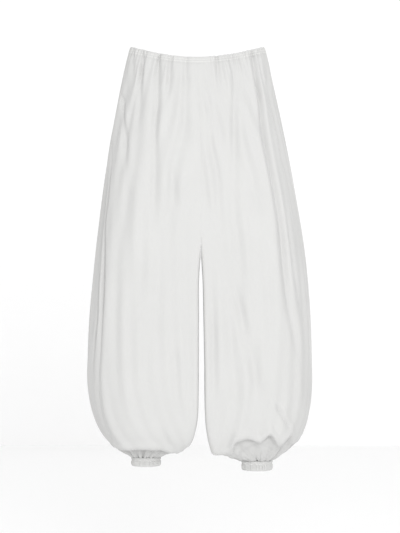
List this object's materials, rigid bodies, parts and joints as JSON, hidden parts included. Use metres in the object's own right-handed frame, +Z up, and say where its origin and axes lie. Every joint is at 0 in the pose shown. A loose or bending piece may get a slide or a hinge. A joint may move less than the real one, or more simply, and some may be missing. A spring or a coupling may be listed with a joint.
{
  "type": "balloon trousers",
  "caption": "Full-length balloon trousers in thin cotton, gathered on an elastic waist casing and narrow elastic ankle cuffs, filled out as when worn.",
  "frame": {"origin": "centre of the waist opening, level with the tops of the side seams, where the trousers are held on the wearer", "axes": "+Z up out of the waist opening, +X towards the wearer's left side, +Y towards the wearer's back (the front faces -Y)"},
  "size_m": [0.54, 0.2661, 1.011],
  "materials": {
    "cotton": "matt plain-weave cotton",
    "elastic_casing": "matt plain-weave cotton"
  },
  "bodies": {
    "root": {"waistband": "elastic_casing", "front_right": "cotton", "back_right": "cotton", "cuff_right": "elastic_casing", "front_left": "cotton", "back_left": "cotton", "cuff_left": "elastic_casing"}
  },
  "joints": []
}
